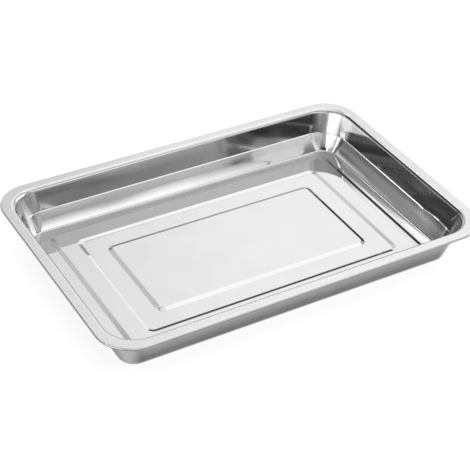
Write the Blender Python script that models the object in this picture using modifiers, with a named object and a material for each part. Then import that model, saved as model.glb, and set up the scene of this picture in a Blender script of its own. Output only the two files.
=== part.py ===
"""Rectangular stainless steel tray: one pressed pan with its rim curled round a wire.

Units are metres, +Z is up. The origin is the middle of the surface that the tray stands on.
"""

import math

import bmesh
import bpy

MM = 0.001

# Overall size, measured over the rim.
LENGTH = 450 * MM
WIDTH = 300 * MM
HEIGHT = 48.5 * MM
SHEET = 0.5 * MM

# Rim: a flat flange whose edge is curled under, round a wire.
RIM_CORNER = 38 * MM
FLANGE = 11.5 * MM
WIRE = 1.6 * MM
WIRE_GAP = 0.3 * MM
CURL_PAST_BOTTOM = math.radians(50)

# Wall: it leans out from the floor, steepens at a crease and bends over into the flange.
WALL_CORNER = 34 * MM
WALL_LEAN = math.radians(13.2)
RIM_BEND = 2 * MM
CREASE_HEIGHT = 21 * MM
CREASE_RADIUS = 10 * MM
FOOT_LEAN = math.radians(22.9)
FOOT_FILLET = 4 * MM
FOOT_CORNER = 15 * MM

# Floor: three rounded rectangles pressed one inside the other.
END_MARGIN = 19.4 * MM
SIDE_MARGIN = 11.3 * MM
OUTER_BAND = 23 * MM
INNER_BAND = 25 * MM
OUTER_STEP_RISE = 2 * MM
MIDDLE_STEP_DROP = 1 * MM
PANEL_STEP_RISE = 1.9 * MM
STEP_RUN = 4.4 * MM
OUTER_STEP_CORNER = 12 * MM
MIDDLE_STEP_CORNER = 8 * MM
PANEL_CORNER = 6 * MM

# How finely the round stretches are divided.
CORNER_PARTS = 8
STEP_PARTS = 4
FILLET_PARTS = 5
CREASE_PARTS = 2
BEND_PARTS = 4
CURL_PARTS = 12
WIRE_RESOLUTION = 2

STEEL_COLOUR = (0.62, 0.62, 0.61, 1.0)
WIRE_COLOUR = (0.45, 0.45, 0.45, 1.0)

# Sizes that follow from the ones above.
CURL_RADIUS = WIRE / 2 + WIRE_GAP + SHEET
FLOOR_TOP = SHEET


class Ring:
    """A rounded rectangle at one height: one line across the pressed sheet."""

    def __init__(self, half_x, half_y, corner, z):
        self.half_x = half_x
        self.half_y = half_y
        self.corner = corner
        self.z = z

    def points(self):
        """Go once round, with the same number of points whatever the size."""
        centre_x = self.half_x - self.corner
        centre_y = self.half_y - self.corner
        result = []
        for quarter, (side_x, side_y) in enumerate(((1, 1), (-1, 1), (-1, -1), (1, -1))):
            for part in range(CORNER_PARTS + 1):
                angle = math.pi / 2 * (quarter + part / CORNER_PARTS)
                x = side_x * centre_x + self.corner * math.cos(angle)
                y = side_y * centre_y + self.corner * math.sin(angle)
                result.append((x, y, self.z))
        return result


def blend(start, end, share):
    return start + (end - start) * share


def rim_ring(inset, corner, z):
    """A ring that lies a given distance in from the tray's outermost edge."""
    return Ring(LENGTH / 2 - inset, WIDTH / 2 - inset, corner, z)


def fold(corner, turn_from, turn_to, radius, parts):
    """Round a corner of the section; a turn of 0 lies flat and a quarter turn stands upright."""
    reach = radius * math.tan(abs(turn_to - turn_from) / 2)
    side = 1 if turn_to > turn_from else -1
    start_inset = corner[0] + reach * math.cos(turn_from)
    start_z = corner[1] - reach * math.sin(turn_from)
    centre_inset = start_inset + side * radius * math.sin(turn_from)
    centre_z = start_z + side * radius * math.cos(turn_from)
    section = []
    for part in range(parts + 1):
        turn = blend(turn_from, turn_to, part / parts)
        inset = centre_inset - side * radius * math.sin(turn)
        section.append((inset, centre_z - side * radius * math.cos(turn)))
    return section


def wall_profile():
    """The wall's section from the floor up, as (inset from the rim's edge, height)."""
    wall_turn = math.pi / 2 - WALL_LEAN
    foot_turn = math.pi / 2 - FOOT_LEAN
    bend = (FLANGE + RIM_BEND * math.tan(wall_turn / 2), HEIGHT)
    crease = (bend[0] + (HEIGHT - CREASE_HEIGHT) * math.tan(WALL_LEAN), CREASE_HEIGHT)
    foot = (crease[0] + (CREASE_HEIGHT - FLOOR_TOP) * math.tan(FOOT_LEAN), FLOOR_TOP)

    section = fold(foot, 0.0, foot_turn, FOOT_FILLET, FILLET_PARTS)
    section += fold(crease, foot_turn, wall_turn, CREASE_RADIUS, CREASE_PARTS)
    section += fold(bend, wall_turn, 0.0, RIM_BEND, BEND_PARTS)
    return section


def step_rings(half_x, half_y, corner, low, high):
    """One pressed step, from its inner edge out to its outer edge, with a soft S section."""
    rings = []
    for part in range(STEP_PARTS + 1):
        share = part / STEP_PARTS
        out = STEP_RUN * (share - 0.5)
        z = blend(high, low, (1 - math.cos(math.pi * share)) / 2)
        rings.append(Ring(half_x + out, half_y + out, corner + out, z))
    return rings


def floor_rings(foot_inset):
    """The floor from the edge of the middle panel out to the lowest band."""
    outer_x = LENGTH / 2 - foot_inset - END_MARGIN
    outer_y = WIDTH / 2 - foot_inset - SIDE_MARGIN
    middle_x = outer_x - OUTER_BAND
    middle_y = outer_y - OUTER_BAND
    panel_x = middle_x - INNER_BAND
    panel_y = middle_y - INNER_BAND

    band_z = FLOOR_TOP + OUTER_STEP_RISE
    channel_z = band_z - MIDDLE_STEP_DROP
    panel_z = channel_z + PANEL_STEP_RISE

    rings = step_rings(panel_x, panel_y, PANEL_CORNER, channel_z, panel_z)
    rings += step_rings(middle_x, middle_y, MIDDLE_STEP_CORNER, band_z, channel_z)
    rings += step_rings(outer_x, outer_y, OUTER_STEP_CORNER, FLOOR_TOP, band_z)
    return rings


def wall_rings(section):
    """The wall's corners open out from the foot to the flange."""
    foot_inset = section[0][0]
    rings = []
    for inset, z in section:
        share = (foot_inset - inset) / (foot_inset - FLANGE)
        rings.append(rim_ring(inset, blend(FOOT_CORNER, WALL_CORNER, share), z))
    return rings


def curl_rings():
    """The flange's edge, curled out, down and back under itself, left open inside."""
    sweep = math.pi + CURL_PAST_BOTTOM
    rings = []
    for part in range(CURL_PARTS + 1):
        turn = sweep * part / CURL_PARTS
        inset = CURL_RADIUS - CURL_RADIUS * math.sin(turn)
        z = HEIGHT - CURL_RADIUS + CURL_RADIUS * math.cos(turn)
        rings.append(rim_ring(inset, RIM_CORNER - inset, z))
    return rings


def loft(name, rings):
    """Skin the rings in order, from a flat face on the first one outwards."""
    mesh = bpy.data.meshes.new(name)
    sheet = bmesh.new()
    loops = []
    for ring in rings:
        loops.append([sheet.verts.new(point) for point in ring.points()])
    sheet.faces.new(loops[0])
    for inner, outer in zip(loops, loops[1:]):
        for index in range(len(inner)):
            following = (index + 1) % len(inner)
            sheet.faces.new((inner[index], outer[index], outer[following], inner[following]))
    sheet.to_mesh(mesh)
    sheet.free()
    mesh.shade_smooth()
    mesh.set_sharp_from_angle(angle=math.radians(40))
    return mesh


def steel(name, colour, roughness):
    material = bpy.data.materials.new(name)
    material.use_nodes = True
    shader = material.node_tree.nodes["Principled BSDF"]
    shader.inputs["Base Color"].default_value = colour
    shader.inputs["Metallic"].default_value = 1.0
    shader.inputs["Roughness"].default_value = roughness
    return material


def make_pan(collection, origin):
    """The whole pressing: floor, wall, flange and curl in one sheet of steel."""
    section = wall_profile()
    rings = floor_rings(section[0][0]) + wall_rings(section) + curl_rings()
    mesh = loft("tray_pan", rings)
    mesh.materials.append(steel("polished_stainless", STEEL_COLOUR, 0.12))
    pan = bpy.data.objects.new("tray_pan", mesh)
    pan.parent = origin
    collection.objects.link(pan)

    thickness = pan.modifiers.new("sheet_thickness", "SOLIDIFY")
    thickness.thickness = SHEET
    thickness.offset = -1.0
    thickness.use_even_offset = True
    thickness.use_quality_normals = True
    return pan


def make_wire(collection, origin):
    """The stiffening wire that lies in the curl, all the way round."""
    curve = bpy.data.curves.new("rim_wire", "CURVE")
    curve.dimensions = "3D"
    curve.bevel_depth = WIRE / 2
    curve.bevel_resolution = WIRE_RESOLUTION
    curve.use_fill_caps = True

    route = rim_ring(CURL_RADIUS, RIM_CORNER - CURL_RADIUS, 0.0).points()
    spline = curve.splines.new("POLY")
    spline.points.add(len(route) - 1)
    for point, place in zip(spline.points, route):
        point.co = (*place, 1.0)
    spline.use_cyclic_u = True

    curve.materials.append(steel("drawn_wire", WIRE_COLOUR, 0.35))
    wire = bpy.data.objects.new("rim_wire", curve)
    wire.parent = origin
    wire.location.z = HEIGHT - CURL_RADIUS
    collection.objects.link(wire)
    return wire


def main():
    for item in list(bpy.data.objects):
        bpy.data.objects.remove(item, do_unlink=True)
    collection = bpy.data.collections.new("stainless_tray")
    bpy.context.scene.collection.children.link(collection)
    origin = bpy.data.objects.new("tray_origin", None)
    collection.objects.link(origin)
    make_pan(collection, origin)
    make_wire(collection, origin)
    bpy.context.view_layer.update()


main()
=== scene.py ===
import math

import bmesh
import bpy
from mathutils import Matrix, Vector


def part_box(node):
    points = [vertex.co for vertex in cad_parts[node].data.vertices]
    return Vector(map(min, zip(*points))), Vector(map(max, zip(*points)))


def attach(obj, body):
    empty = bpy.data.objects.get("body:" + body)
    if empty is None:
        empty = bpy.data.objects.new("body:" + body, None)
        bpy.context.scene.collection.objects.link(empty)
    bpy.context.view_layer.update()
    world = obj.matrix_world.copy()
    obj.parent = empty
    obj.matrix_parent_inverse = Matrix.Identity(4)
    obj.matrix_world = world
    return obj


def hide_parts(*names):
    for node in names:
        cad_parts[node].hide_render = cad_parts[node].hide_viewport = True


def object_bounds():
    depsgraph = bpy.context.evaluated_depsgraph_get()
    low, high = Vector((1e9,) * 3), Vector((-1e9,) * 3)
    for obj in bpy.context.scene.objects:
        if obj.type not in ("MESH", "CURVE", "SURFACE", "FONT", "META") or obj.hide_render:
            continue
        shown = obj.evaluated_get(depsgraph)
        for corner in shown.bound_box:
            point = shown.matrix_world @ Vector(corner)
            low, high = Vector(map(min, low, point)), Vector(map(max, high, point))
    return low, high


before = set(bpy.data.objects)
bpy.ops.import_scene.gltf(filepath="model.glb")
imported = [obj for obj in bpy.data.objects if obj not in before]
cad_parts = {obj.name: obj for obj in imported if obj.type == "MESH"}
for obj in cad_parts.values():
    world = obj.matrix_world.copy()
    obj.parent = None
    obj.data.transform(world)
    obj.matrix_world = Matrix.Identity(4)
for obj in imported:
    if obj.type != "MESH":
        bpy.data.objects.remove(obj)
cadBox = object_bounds()
mm = 0.001
# points closer than this count as the same place
nearness = 0.02 * mm

panLow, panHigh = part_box("tray_pan")
rimHalfX = (panHigh.x - panLow.x) / 2
rimHalfY = (panHigh.y - panLow.y) / 2
rimTop = panHigh.z
print("frame loaded:", sorted(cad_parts))


# shared helpers

def linear(hexColour):
    channels = []
    for start in (1, 3, 5):
        value = int(hexColour[start:start + 2], 16) / 255
        channels.append(value / 12.92 if value <= 0.04045 else ((value + 0.055) / 1.055) ** 2.4)
    return (*channels, 1.0)


def feed(tree, node, inputs):
    # an input gets a value, or the socket that it is linked to
    for name, value in inputs.items():
        if isinstance(value, bpy.types.NodeSocket):
            tree.links.new(value, node.inputs[name])
        else:
            node.inputs[name].default_value = value


def addNode(tree, kind, settings, inputs):
    node = tree.nodes.new(kind)
    for name, value in settings.items():
        setattr(node, name, value)
    feed(tree, node, inputs)
    return node


def startMesh(name):
    # an empty mesh object, open in edit mode with nothing selected
    if bpy.context.mode != "OBJECT":
        bpy.ops.object.mode_set(mode="OBJECT")
    bpy.ops.object.select_all(action="DESELECT")
    piece = bpy.data.objects.new(name, bpy.data.meshes.new(name))
    bpy.context.scene.collection.objects.link(piece)
    bpy.context.view_layer.objects.active = piece
    piece.select_set(True)
    bpy.ops.object.mode_set(mode="EDIT")
    bpy.ops.mesh.select_mode(type="EDGE")
    return piece


def applyModifier(piece, name, kind, **settings):
    modifier = piece.modifiers.new(name, kind)
    for key, value in settings.items():
        setattr(modifier, key, value)
    bpy.context.view_layer.objects.active = piece
    bpy.ops.object.modifier_apply(modifier=modifier.name)


def startMaterial(name):
    material = bpy.data.materials.new(name)
    material.use_nodes = True
    tree = material.node_tree
    return material, tree, tree.nodes["Principled BSDF"]


# the pressed pan: sharp rounded rectangles first, then every fold is bevelled to its radius

pan = {
    "sheet": 0.5 * mm,
    "rimCorner": 38 * mm,
    "flange": 9.4 * mm,
    "rimBend": 4.6 * mm,
    "curl": 3.2 * mm,
    "curlTail": 1.4 * mm,
    "tailFold": 1.26 * mm,
    "wallCorner": 36 * mm,
    "wallLean": math.radians(13.2),
    "creaseHeight": 21 * mm,
    "shoulderRun": 1.2 * mm,
    "shoulderRise": 0.55 * mm,
    "shoulderCorner": 0.12 * mm,
    "creaseRadius": 0.35 * mm,
    "footLean": math.radians(22.0),
    "shinHeight": 8.5 * mm,
    "shinLean": math.radians(25.6),
    "shinRadius": 150 * mm,
    "footFillet": 1.8 * mm,
    "footCorner": 17 * mm,
    "outerHalfX": 177.4 * mm,
    "outerShiftX": 2.0 * mm,
    "outerRightRun": 0.9 * mm,
    "outerHalfY": 107.9 * mm,
    "middleHalfX": 151.8 * mm,
    "middleHalfY": 84.9 * mm,
    "innerBand": 25 * mm,
    "outerRise": 2 * mm,
    "middleDrop": 1 * mm,
    "panelRise": 1.9 * mm,
    "stepRun": 4.4 * mm,
    "outerCorner": 12 * mm,
    "middleCorner": 8 * mm,
    "panelCorner": 6 * mm,
    "stepRadius": 2.2 * mm,
    "cuts": {"length": 60, "width": 44, "wall": 4, "shin": 1},
    "segments": {"corner": 24, "foot": 12, "shin": 10, "crease": 4, "bend": 10, "curl": 8, "tail": 6, "step": 4},
    "waves": {"size": 80 * mm, "depth": 0.18 * mm},
    "dents": [
        {"place": (205.4 * mm, -57 * mm, 21.5 * mm), "push": (-0.3 * mm, 0, -0.4 * mm), "reach": 10 * mm},
        {"place": (205.4 * mm, -80 * mm, 21.5 * mm), "push": (0.4 * mm, 0, 1.4 * mm), "reach": 24 * mm},
    ],
}


def ringAt(inset, corner, z):
    # a ring is half its length, half its width, its corner radius, its height and its shift to the right
    return rimHalfX - inset, rimHalfY - inset, corner, z, 0.0


def onRing(point, ring):
    halfX, halfY, corner, z, shiftX = ring
    if abs(point.z - z) > nearness:
        return False
    pastX = abs(point.x - shiftX) - (halfX - corner)
    pastY = abs(point.y) - (halfY - corner)
    if pastX > 0 and pastY > 0:
        return abs(math.hypot(pastX, pastY) - corner) < nearness
    return abs(max(pastX, pastY) - corner) < nearness


def selectRings(mesh, rings):
    shape = bmesh.from_edit_mesh(mesh)
    for edge in shape.edges:
        edge.select = any(all(onRing(v.co, ring) for v in edge.verts) for ring in rings)
    shape.select_flush_mode()
    bmesh.update_edit_mesh(mesh)


def selectBetween(mesh, low, high):
    # the edges that run up the wall from one ring to the next
    shape = bmesh.from_edit_mesh(mesh)
    for edge in shape.edges:
        first, last = sorted((v.co for v in edge.verts), key=lambda co: co.z)
        edge.select = onRing(first, low) and onRing(last, high)
    shape.select_flush_mode()
    bmesh.update_edit_mesh(mesh)


def addRing(mesh, ring):
    # a plane with rounded corners, left as one closed line of edges
    halfX, halfY, corner, z, shiftX = ring
    bpy.ops.mesh.select_all(action="DESELECT")
    bpy.ops.mesh.primitive_plane_add(size=2, location=(shiftX, 0, z))
    bpy.ops.transform.resize(value=(halfX, halfY, 1), center_override=(shiftX, 0, z))
    bpy.ops.mesh.bevel(offset=corner, segments=pan["segments"]["corner"], profile=0.5, affect="VERTICES",
                       clamp_overlap=False)
    bpy.ops.mesh.delete(type="ONLY_FACE")
    # each straight side is one edge so far, and is cut up
    for side, half, cuts in ((0, halfX, pan["cuts"]["length"]), (1, halfY, pan["cuts"]["width"])):
        shape = bmesh.from_edit_mesh(mesh)
        nearlyWhole = 1.9 * (half - corner)
        for edge in shape.edges:
            run = abs(edge.verts[0].co[side] - edge.verts[1].co[side])
            edge.select = run > nearlyWhole and all(onRing(v.co, ring) for v in edge.verts)
        shape.select_flush_mode()
        bmesh.update_edit_mesh(mesh)
        bpy.ops.mesh.subdivide(number_cuts=cuts)


def foldWidth(radius, turn):
    return radius * math.tan(abs(turn) / 2)


def floorRings(floorTop):
    # three pressed steps, each as its lower and upper ring, from the outermost in;
    # the outermost one is a little wider at the right end
    p = pan
    bandZ = floorTop + p["outerRise"]
    channelZ = bandZ - p["middleDrop"]
    panelZ = channelZ + p["panelRise"]
    panelHalfX = p["middleHalfX"] - p["innerBand"]
    panelHalfY = p["middleHalfY"] - p["innerBand"]
    half = p["stepRun"] / 2
    rings = []
    for x, y, corner, low, high, shiftX, wider in (
        (p["outerHalfX"], p["outerHalfY"], p["outerCorner"], floorTop, bandZ, p["outerShiftX"], p["outerRightRun"] / 2),
        (p["middleHalfX"], p["middleHalfY"], p["middleCorner"], bandZ, channelZ, 0.0, 0.0),
        (panelHalfX, panelHalfY, p["panelCorner"], channelZ, panelZ, 0.0, 0.0),
    ):
        rings.append((x + half + wider, y + half, corner + half, low, shiftX + wider))
        rings.append((x - half, y - half, corner - half, high, shiftX))
    return rings


def wallRings(floorTop):
    # foot, shin, crease, shoulder and bend: the crease dies away in the corners, where the wall is one smooth cone
    p = pan
    bendInset = p["flange"] + foldWidth(p["rimBend"], math.pi / 2 - p["wallLean"])
    creaseZ = panLow.z + p["creaseHeight"]
    shoulderZ = creaseZ + p["shoulderRise"]
    shinZ = panLow.z + p["shinHeight"]
    shoulderInset = bendInset + (rimTop - shoulderZ) * math.tan(p["wallLean"])
    creaseInset = shoulderInset + p["shoulderRun"]
    shinInset = creaseInset + (creaseZ - shinZ) * math.tan(p["footLean"])
    footInset = shinInset + (shinZ - floorTop) * math.tan(p["shinLean"])

    # how far a ring's corner lies in from the rim's sharp corner
    diagonal = math.sqrt(2)
    cut = diagonal - 1
    bendIn = bendInset * diagonal + (p["wallCorner"] - bendInset + p["flange"]) * cut
    footIn = footInset * diagonal + p["footCorner"] * cut
    rings = []
    for inset, z, out in (
        (footInset, floorTop, 0.0),
        (shinInset, shinZ, 0.0),
        (creaseInset, creaseZ, 0.0),
        (shoulderInset, shoulderZ, p["shoulderCorner"]),
        (bendInset, rimTop, 0.0),
    ):
        share = (rimTop - z) / (rimTop - floorTop)
        cornerIn = bendIn + (footIn - bendIn) * share - out
        rings.append(ringAt(inset, (cornerIn - inset * diagonal) / cut, z))
    return rings


def pressDents(mesh, dents):
    for dent in dents:
        shape = bmesh.from_edit_mesh(mesh)
        place = Vector(dent["place"])
        for vert in shape.verts:
            vert.select_set(False)
        min(shape.verts, key=lambda vert: (vert.co - place).length).select_set(True)
        bmesh.update_edit_mesh(mesh)
        bpy.ops.transform.translate(value=dent["push"], use_proportional_edit=True,
                                    proportional_edit_falloff="SMOOTH", proportional_size=dent["reach"])


def waveWalls(piece, low, high):
    # a pressed wall is never quite flat
    p = pan["waves"]
    walls = piece.vertex_groups.new(name="walls")
    for vert in piece.data.vertices:
        share = (vert.co.z - low) / (high - low)
        if 0 < share < 1:
            walls.add([vert.index], math.sin(math.pi * share), "REPLACE")
    cloud = bpy.data.textures.new("waves", "CLOUDS")
    cloud.noise_scale = p["size"]
    cloud.noise_depth = 0
    applyModifier(piece, "waves", "DISPLACE", texture=cloud, texture_coords="LOCAL", vertex_group="walls",
                  strength=2 * p["depth"], mid_level=0.5)


def modelPan():
    p = pan
    floorTop = panLow.z + p["sheet"]
    steps = floorRings(floorTop)
    foot, shin, crease, shoulder, bend = wall = wallRings(floorTop)
    edge = ringAt(0, p["rimCorner"], rimTop)
    lip = ringAt(0, p["rimCorner"], rimTop - p["curl"])
    under = ringAt(p["curl"], p["rimCorner"] - p["curl"], rimTop - p["curl"])
    tail = ringAt(p["curl"], p["rimCorner"] - p["curl"], rimTop - p["curl"] + p["curlTail"])
    rings = steps[::-1] + wall + [edge, lip, under, tail]

    piece = startMesh("tray_pan_sheet")
    mesh = piece.data
    # the rings stand well apart while they are bridged, then each one drops to its height
    stackLow, stackStep = 100 * mm, 40 * mm
    stacked = [(*ring[:3], stackLow + stackStep * index, ring[4]) for index, ring in enumerate(rings)]
    for ring in stacked:
        addRing(mesh, ring)
    for inner, outer in zip(stacked, stacked[1:]):
        selectRings(mesh, [inner, outer])
        bpy.ops.mesh.bridge_edge_loops()
    for ring, high in zip(rings, stacked):
        selectRings(mesh, [high])
        bpy.ops.transform.translate(value=(0, 0, ring[3] - high[3]))
    selectRings(mesh, rings[:1])
    bpy.ops.mesh.edge_face_add()
    for low, high, cuts in ((shoulder, bend, p["cuts"]["wall"]), (shin, crease, p["cuts"]["shin"])):
        selectBetween(mesh, low, high)
        bpy.ops.mesh.subdivide(number_cuts=cuts)
    bpy.ops.mesh.select_all(action="SELECT")
    bpy.ops.mesh.normals_make_consistent(inside=False)
    print("pan bridged:", len(rings), "rings")

    # every fold gets its radius
    curlWidth = p["curl"] / 2 - nearness
    stepTurn = math.atan2(p["panelRise"], p["stepRun"])
    shoulderLean = math.atan2(p["shoulderRun"], p["shoulderRise"])
    folds = [
        (foot, foldWidth(p["footFillet"], math.pi / 2 - p["shinLean"]), "foot"),
        (shin, foldWidth(p["shinRadius"], p["shinLean"] - p["footLean"]), "shin"),
        (crease, foldWidth(p["creaseRadius"], shoulderLean - p["footLean"]), "crease"),
        (shoulder, foldWidth(p["creaseRadius"], shoulderLean - p["wallLean"]), "crease"),
        (bend, foldWidth(p["rimBend"], math.pi / 2 - p["wallLean"]), "bend"),
        (edge, curlWidth, "curl"),
        (lip, curlWidth, "curl"),
        (under, p["tailFold"], "tail"),
    ]
    folds += [(ring, foldWidth(p["stepRadius"], stepTurn), "step") for ring in steps]
    for ring, width, name in folds:
        selectRings(mesh, [ring])
        bpy.ops.mesh.bevel(offset=width, segments=p["segments"][name], profile=0.5, affect="EDGES",
                           clamp_overlap=False)
    pressDents(mesh, p["dents"])
    bpy.ops.object.mode_set(mode="OBJECT")
    waveWalls(piece, floorTop + p["footFillet"], rimTop - p["rimBend"])

    # the sheet faces up, so its thickness goes underneath
    up = sum(face.normal.z * face.area for face in mesh.polygons)
    if up < 0:
        mesh.flip_normals()
    applyModifier(piece, "sheet", "SOLIDIFY", thickness=p["sheet"], offset=-1.0, use_even_offset=True,
                  use_quality_normals=True)
    # the material tells the buffed inside from the mill surface by this attribute
    outside = mesh.attributes.new("outside", "FLOAT", "FACE")
    for face, mark in zip(mesh.polygons, outside.data):
        mark.value = 1.0 if face.normal.z < 0 else 0.0
    mesh.shade_smooth()
    applyModifier(piece, "flats", "WEIGHTED_NORMAL", mode="FACE_AREA", weight=80, keep_sharp=True)
    print("pan folded:", len(mesh.polygons), "faces")
    return piece


# finishes

# nearly all of a noise pattern lies between these two values
weak, strong = 0.3, 0.7

steel = {
    "buffed": "#BFBFBF",
    # painted light: the flange is a lighter copy of the buffed steel, so that it mirrors its surroundings brighter
    "flange": "#C7C7C7",
    "mill": "#B6B6B6",
    # painted shade: the dark tone of the outer wall near its foot and of the line under the lip's curl
    "millFoot": "#525252",
    # how much of the tone the smears leave
    "smearTone": (0.97, 1.0),
    # the heights at which each finish, and the painted shade outside, starts and is complete
    "heights": {
        "wall": (3 * mm, 9 * mm),
        "flange": (rimTop - 1.6 * mm, rimTop - 0.3 * mm),
        # the outer wall's painted shade fades out between these two heights
        "footShadeFade": (4 * mm, 42 * mm),
        "underside": (4 * mm, 3 * mm),
        # painted shade: outside faces above these heights, under the lip's curl, keep the dark tone
        "belowHem": (rimTop - 2.8 * mm, rimTop - 3.6 * mm),
    },
    # the same for the drawn corners, in from the rim's edge
    "cornerReach": (48 * mm, 30 * mm),
    # how many streaks fit in a metre along X, Y and Z: wheel lines 0.8 mm apart and about 60 mm long, draw marks
    # 2.4 mm apart that run up the corners, and smears some 40 mm across; lines and marks are finer on a real tray
    # and are drawn coarser here so that they show
    "patterns": {"wheel": (16, 1250, 1250), "marks": (420, 420, 9), "smears": (25, 25, 25)},
    # the pattern that each finish follows, and its roughness where that pattern is weak and where it is strong
    "roughness": {
        "mirror": ("wheel", 0.015, 0.04),
        "wall": ("wheel", 0.072, 0.108),
        "corner": ("marks", 0.152, 0.228),
        "flange": ("wheel", 0.15, 0.25),
        "mill": ("smears", 0.255, 0.345),
    },
    "grain": {"Strength": 0.06, "Distance": 0.004 * mm},
}


def buffedStainless():
    # cold rolled stainless steel, pressed and then buffed inside: a mirror on the floor with faint lines from the
    # wheel, a little softer on the walls, a satin flange in a lighter tone that is painted light, drawn corners that
    # blur what they mirror, and the duller mill surface left outside, painted darker as painted shade towards the
    # foot of the outer wall and under the lip's curl
    material, tree, shader = startMaterial("stainless steel sheet, pressed and buffed")
    place = addNode(tree, "ShaderNodeTexCoord", {}, {}).outputs["Object"]
    axis = addNode(tree, "ShaderNodeSeparateXYZ", {}, {"Vector": place}).outputs

    # where each finish lies
    spans = [(name, axis["Z"], *ends) for name, ends in steel["heights"].items()]
    reach, complete = steel["cornerReach"]
    for name, half in (("X", rimHalfX), ("Y", rimHalfY)):
        size = addNode(tree, "ShaderNodeMath", {"operation": "ABSOLUTE"}, {0: axis[name]}).outputs[0]
        spans.append((name, size, half - reach, half - complete))
    masks = {"outside": addNode(tree, "ShaderNodeAttribute", {"attribute_name": "outside"}, {}).outputs["Fac"]}
    for name, value, start, end in spans:
        masks[name] = addNode(tree, "ShaderNodeMapRange", {"interpolation_type": "SMOOTHSTEP"},
                              {"Value": value, "From Min": start, "From Max": end}).outputs[0]
    for name, first, second in (("corner", "X", "Y"), ("drawn", "corner", "wall")):
        masks[name] = addNode(tree, "ShaderNodeMath", {"operation": "MULTIPLY"},
                              {0: masks[first], 1: masks[second]}).outputs[0]

    patterns = {}
    for name, perMetre in steel["patterns"].items():
        drawnOut = addNode(tree, "ShaderNodeVectorMath", {"operation": "MULTIPLY"}, {0: place, 1: perMetre})
        patterns[name] = addNode(tree, "ShaderNodeTexNoise", {}, {
            "Vector": drawnOut.outputs[0], "Scale": 1.0, "Detail": 2.0, "Roughness": 0.55}).outputs["Fac"]

    # every finish has its own roughness, and each lies over the ones before it
    varied = {}
    for name, (pattern, low, high) in (*steel["roughness"].items(), ("tone", ("smears", *steel["smearTone"]))):
        varied[name] = addNode(tree, "ShaderNodeMapRange", {"interpolation_type": "SMOOTHSTEP"}, {
            "Value": patterns[pattern], "From Min": weak, "From Max": strong,
            "To Min": low, "To Max": high}).outputs[0]
    roughness = varied["mirror"]
    for mask, name in (("wall", "wall"), ("drawn", "corner"), ("flange", "flange"), ("outside", "mill")):
        roughness = addNode(tree, "ShaderNodeMix", {}, {
            "Factor": masks[mask], "A": roughness, "B": varied[name]}).outputs["Result"]

    # inside, the flange takes a lighter tone, which is painted light; outside, the wall is painted darker towards its
    # foot, painted shade for the shadowed floor that it mirrors near its base, and a line of painted shade lies under
    # the lip's curl, while the flat underside and the corners keep the mill tone
    share = masks["footShadeFade"]
    for operation, mask in (("MAXIMUM", "underside"), ("MAXIMUM", "corner"), ("MULTIPLY", "belowHem")):
        share = addNode(tree, "ShaderNodeMath", {"operation": operation}, {0: share, 1: masks[mask]}).outputs[0]
    tones = {name: linear(steel[name]) for name in ("buffed", "flange", "millFoot", "mill")}
    for name, factor, first, second in (
        ("inside", masks["flange"], "buffed", "flange"),
        ("outside", share, "millFoot", "mill"),
        ("both", masks["outside"], "inside", "outside"),
    ):
        # 6 and 7 are the mixer's two colours, and 2 is the colour that it gives
        tones[name] = addNode(tree, "ShaderNodeMix", {"data_type": "RGBA"}, {
            "Factor": factor, 6: tones[first], 7: tones[second]}).outputs[2]
    tint = addNode(tree, "ShaderNodeVectorMath", {"operation": "SCALE"}, {0: tones["both"], "Scale": varied["tone"]})

    # the wheel's lines are only thousandths of a millimetre deep, and the corners have none
    grain = addNode(tree, "ShaderNodeMix", {}, {"Factor": masks["drawn"], "A": patterns["wheel"], "B": 0.5})
    bump = addNode(tree, "ShaderNodeBump", {}, {**steel["grain"], "Height": grain.outputs["Result"]})
    feed(tree, shader, {"Base Color": tint.outputs[0], "Metallic": 1.0, "Roughness": roughness,
                        "Normal": bump.outputs["Normal"]})
    return material


# die marks a quarter of a millimetre apart
wireSteel = {"dark": "#A9A9A7", "light": "#B6B6B4", "roughness": (0.28, 0.44), "marksPerMetre": 4000}


def drawnWire():
    # plain steel wire pulled through a die: grey and slightly rough, with fine marks from the die
    material, tree, shader = startMaterial("steel wire, drawn")
    place = addNode(tree, "ShaderNodeTexCoord", {}, {}).outputs["Object"]
    marks = addNode(tree, "ShaderNodeTexNoise", {}, {
        "Vector": place, "Scale": wireSteel["marksPerMetre"], "Detail": 2.0, "Roughness": 0.55}).outputs["Fac"]
    low, high = wireSteel["roughness"]
    roughness = addNode(tree, "ShaderNodeMapRange", {"interpolation_type": "SMOOTHSTEP"}, {
        "Value": marks, "From Min": weak, "From Max": strong, "To Min": low, "To Max": high})
    tone = addNode(tree, "ShaderNodeMix", {"data_type": "RGBA"}, {
        "Factor": marks, 6: linear(wireSteel["dark"]), 7: linear(wireSteel["light"])})
    feed(tree, shader, {"Base Color": tone.outputs[2], "Metallic": 1.0, "Roughness": roughness.outputs[0]})
    return material


traySheet = modelPan()
traySheet.data.materials.append(buffedStainless())
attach(traySheet, "root")
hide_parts("tray_pan")

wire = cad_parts["rim_wire"]
wire.data.materials.clear()
wire.data.materials.append(drawnWire())
print("finishes laid on the pan and the wire")


# camera, at the photograph's angle

view = {
    "turn": math.radians(-31.73),
    "rise": math.radians(36.53),
    "roll": math.radians(2.68),
    "distance": 1.5184,
    "aim": Vector((0.0078, 0.0197, 0.0)),
    "lens": 105.38,
    "sensor": 36,
    "farthest": 50,
}


def placeCamera():
    data = bpy.data.cameras.new("camera")
    data.lens = view["lens"]
    data.sensor_width = view["sensor"]
    data.clip_end = view["farthest"]
    camera = bpy.data.objects.new("camera", data)
    bpy.context.scene.collection.objects.link(camera)
    turn = Matrix.Rotation(view["turn"], 4, "Z") @ Matrix.Rotation(math.pi / 2 - view["rise"], 4, "X")
    back = turn @ Vector((0, 0, 1))
    place = Matrix.Translation(view["aim"] + back * view["distance"])
    camera.matrix_world = place @ turn @ Matrix.Rotation(view["roll"], 4, "Z")
    bpy.context.scene.camera = camera


placeCamera()
print("camera placed")


# studio

table = {"size": 12, "colour": "#808080", "roughness": 0.9, "glowColour": "#FFFFFF", "glow": 0.87}


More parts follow.
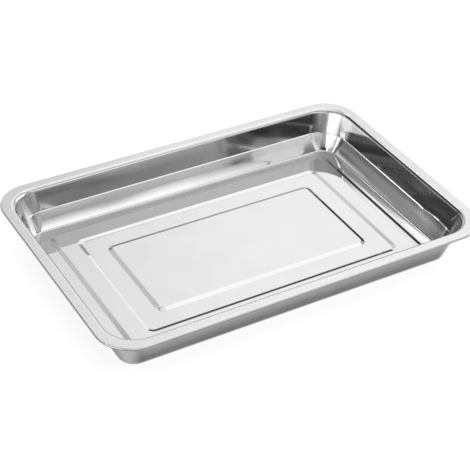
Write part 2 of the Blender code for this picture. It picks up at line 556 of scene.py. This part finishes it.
def layFloor():
    bpy.ops.object.select_all(action="DESELECT")
    bpy.ops.mesh.primitive_plane_add(size=table["size"], location=(0, 0, cadBox[0][2]))
    floor = bpy.context.object
    floor.name = "studio_floor"
    material, tree, shader = startMaterial("paleFloor")
    # the eye and its mirror images see a lit white table; the tray's shadow stays in the part that isn't lit
    seen = addNode(tree, "ShaderNodeLightPath", {}, {}).outputs
    glow = seen["Is Camera Ray"]
    for operation, other in (
        ("MAXIMUM", seen["Is Glossy Ray"]),
        ("MAXIMUM", seen["Is Transmission Ray"]),
        ("MULTIPLY", table["glow"]),
    ):
        glow = addNode(tree, "ShaderNodeMath", {"operation": operation}, {0: glow, 1: other}).outputs[0]
    feed(tree, shader, {"Base Color": linear(table["colour"]), "Roughness": table["roughness"],
                        "Emission Color": linear(table["glowColour"]), "Emission Strength": glow})
    floor.data.materials.append(material)


# surroundings of the studio as the steel mirrors them: each card is painted over the ones before it;
# turn is counted from +X towards +Y and rise from the horizon, both in degrees, and edge is how soft its border is;
# no turn means all the way round, turnEdge is for sides softer or harder than top and bottom, and tilt is how much
# a card climbs for each degree of turn
cards = [
    {"name": "roof of the tent", "turn": None, "rise": (56, 100), "edge": 16, "level": 0.9},
    {"name": "right tent wall", "turn": (-66, 40), "rise": (12, 60), "edge": 12, "level": 0.8},
    {"name": "right tent wall, low", "turn": (-34, 12), "rise": (3, 31), "edge": 6, "level": 2.7},
    {"name": "roof over the right", "turn": (-75, 64), "rise": (52, 100), "edge": 12, "level": 1.3},
    {"name": "roof strip", "turn": (-3, 38), "rise": (56, 71), "edge": 4, "level": 1.85},
    {"name": "back tent wall", "turn": (36, 104), "rise": (24, 50), "edge": 8, "level": 1.18},
    {"name": "back tent wall, lit", "turn": (34, 68), "rise": (20, 44), "edge": 8, "level": 1.45},
    {"name": "back tent wall, by the lamp", "turn": (32, 61), "rise": (18, 44), "edge": 10, "level": 1.63},
    {"name": "back tent wall, seam", "turn": (30, 59), "rise": (28, 33.3), "edge": 1, "level": 1.15},
    {"name": "back left tent wall", "turn": (98, 112), "rise": (34, 48), "edge": 4, "level": 1.0},
    {"name": "dark back, low", "turn": (93, 118), "rise": (22, 34), "edge": 4, "level": 0.25},
    {"name": "dark behind the lamp", "turn": (78, 116), "rise": (46.5, 57), "edge": 3, "level": 0.7},
    {"name": "back left lamp", "turn": (80, 110.5), "rise": (49.1, 58), "tilt": -0.21, "edge": 1.5, "level": 3.2},
    {"name": "front lamp", "turn": (-54, -36), "rise": (44, 62), "edge": 8, "level": 1.7},
    {"name": "back lamp", "turn": (36, 54), "rise": (46, 62), "edge": 6, "level": 1.8},
    {"name": "back tent wall, shade", "turn": (61, 84), "rise": (32.6, 34.6), "turnEdge": 8, "edge": 0.8, "level": 0.5},
    {"name": "dark over the back", "turn": (55.5, 67), "rise": (46.5, 57), "edge": 3, "level": 0.5},
    {"name": "front tent wall, high", "turn": (-124, -66), "rise": (48, 62), "edge": 8, "level": 1.5},
    {"name": "dark front", "turn": (-124, -70), "rise": (25, 48), "edge": 6, "level": 0.3},
    {"name": "front tent wall, low", "turn": (-106, -62), "rise": (8, 27), "edge": 10, "level": 1.9},
    {"name": "front strip light", "turn": (-126, -94), "rise": (14, 24.5), "edge": 3, "level": 2.3},
    {"name": "gap for the camera", "turn": (-131, -108), "rise": (-8, 16), "edge": 1.5, "level": 0.08},
    {"name": "table before the camera", "turn": (-131, -106), "rise": (6.4, 9.6), "edge": 0.8, "level": 1.5},
    {"name": "dark front left", "turn": (-166, -126), "rise": (15, 45), "edge": 5, "level": 0.3},
    {"name": "dark front left, low", "turn": (-143, -129), "rise": (16, 24), "edge": 3, "level": 0.1},
    {"name": "left front wall", "turn": (-166, -144), "rise": (26, 29.4), "edge": 2, "level": 0.95},
    {"name": "left front lamp", "turn": (-166, -151), "rise": (29.2, 36), "edge": 1.2, "level": 2.0},
    {"name": "left tent wall", "turn": (148, 200), "rise": (6, 42), "edge": 8, "level": 0.6},
    {"name": "left tent seam", "turn": (150, 200), "rise": (42, 49), "edge": 5, "level": 0.45},
    {"name": "dark back left", "turn": (113.6, 150), "rise": (9, 47), "turnEdge": 2, "edge": 4, "level": 0.12},
    {"name": "white table behind", "turn": (26, 96), "rise": (-8, 12), "edge": 5, "level": 1.4},
    {"name": "table edge behind", "turn": (56, 80), "rise": (12, 20), "edge": 4, "level": 0.15},
    {"name": "white card, low left", "turn": (176, 226), "rise": (-8, 15), "edge": 3, "level": 3.2},
    {"name": "lamp overhead", "turn": None, "rise": (74, 100), "edge": 6, "level": 1.5},
]
studio = {"base": 0.55, "colour": "#FFFFFF"}


def lightWorld():
    world = bpy.data.worlds.new("studio")
    bpy.context.scene.world = world
    world.use_nodes = True
    tree = world.node_tree
    ray = addNode(tree, "ShaderNodeTexCoord", {}, {}).outputs["Generated"]
    axis = addNode(tree, "ShaderNodeSeparateXYZ", {}, {"Vector": ray}).outputs
    angles = {}
    for name, operation, inputs in (
        ("rise", "ARCSINE", {0: axis["Z"]}),
        ("turn", "ARCTAN2", {0: axis["Y"], 1: axis["X"]}),
    ):
        radians = addNode(tree, "ShaderNodeMath", {"operation": operation}, inputs).outputs[0]
        angles[name] = addNode(tree, "ShaderNodeMath", {"operation": "DEGREES"}, {0: radians}).outputs[0]

    level = studio["base"]
    for card in cards:
        # how far the ray points past the card's middle, the shorter way round
        away = {}
        for name, angle in angles.items():
            if card[name]:
                offset = addNode(tree, "ShaderNodeMath", {"operation": "SUBTRACT"}, {0: angle, 1: sum(card[name]) / 2})
                away[name] = addNode(tree, "ShaderNodeMath", {"operation": "WRAP"},
                                     {0: offset.outputs[0], 1: 180, 2: -180}).outputs[0]
        if "tilt" in card:
            away["rise"] = addNode(tree, "ShaderNodeMath", {"operation": "MULTIPLY_ADD"},
                                   {0: away["turn"], 1: -card["tilt"], 2: away["rise"]}).outputs[0]
        # 1 well inside the card's border, 0 well outside it
        mask = 1.0
        for name, value in away.items():
            half = (card[name][1] - card[name][0]) / 2
            soft = card.get(name + "Edge", card["edge"]) / 2
            size = addNode(tree, "ShaderNodeMath", {"operation": "ABSOLUTE"}, {0: value})
            within = addNode(tree, "ShaderNodeMapRange", {"interpolation_type": "SMOOTHSTEP"},
                             {"Value": size.outputs[0], "From Min": half + soft, "From Max": half - soft})
            mask = addNode(tree, "ShaderNodeMath", {"operation": "MULTIPLY"},
                           {0: within.outputs[0], 1: mask}).outputs[0]
        level = addNode(tree, "ShaderNodeMix", {}, {"Factor": mask, "A": level, "B": card["level"]}).outputs["Result"]
    feed(tree, tree.nodes["Background"], {"Color": linear(studio["colour"]), "Strength": level})


layFloor()
lightWorld()
bpy.context.scene.view_settings.view_transform = "Standard"
print("studio lit:", len(cards), "cards")
